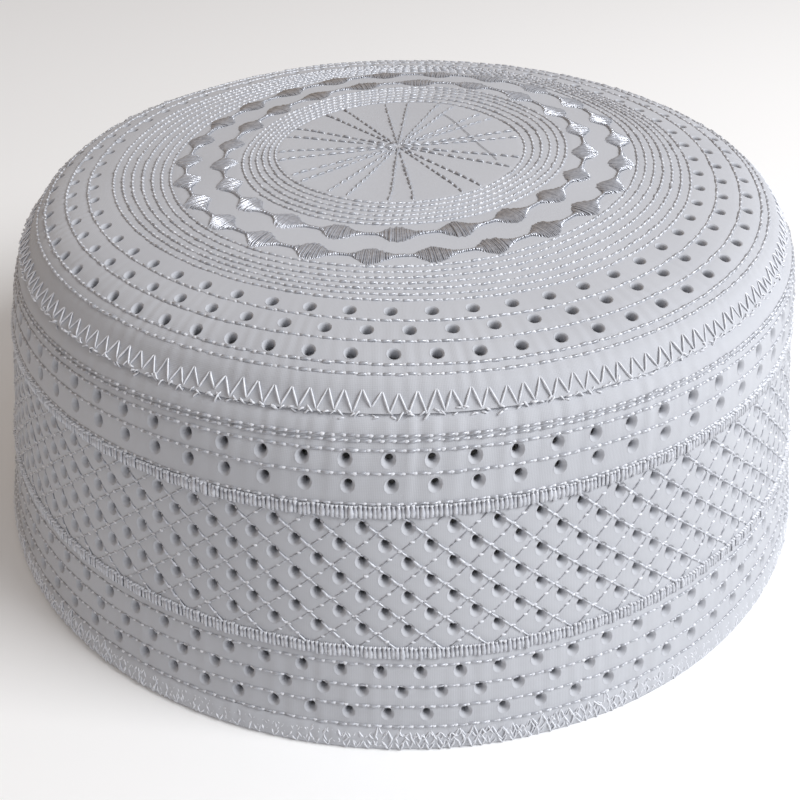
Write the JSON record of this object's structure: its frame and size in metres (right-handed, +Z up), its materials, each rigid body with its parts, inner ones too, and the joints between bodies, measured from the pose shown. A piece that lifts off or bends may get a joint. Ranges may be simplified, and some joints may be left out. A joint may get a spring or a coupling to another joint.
{
  "type": "kufi",
  "caption": "Stiff round prayer cap with a flat pierced crown, flared stitched side band, satin trim and bound hem; rests on its rim, hollow for the head.",
  "frame": {"origin": "centre of the rim's circle, on the surface that the cap rests on", "axes": "+Z up through the crown's middle, -Y towards the front, +X to the right seen from the front"},
  "size_m": [0.1838, 0.1838, 0.0757],
  "materials": {
    "cloth": "plain cool-white cotton weave, matt with a soft sheen",
    "thread": "white embroidery thread, satin gloss"
  },
  "bodies": {
    "root": {"crown": "cloth", "side_band": "cloth", "hem_edging": "thread", "lower_cord": "thread", "upper_cord": "thread", "inner_satin_ring": "thread", "outer_satin_ring": "thread"}
  },
  "joints": []
}
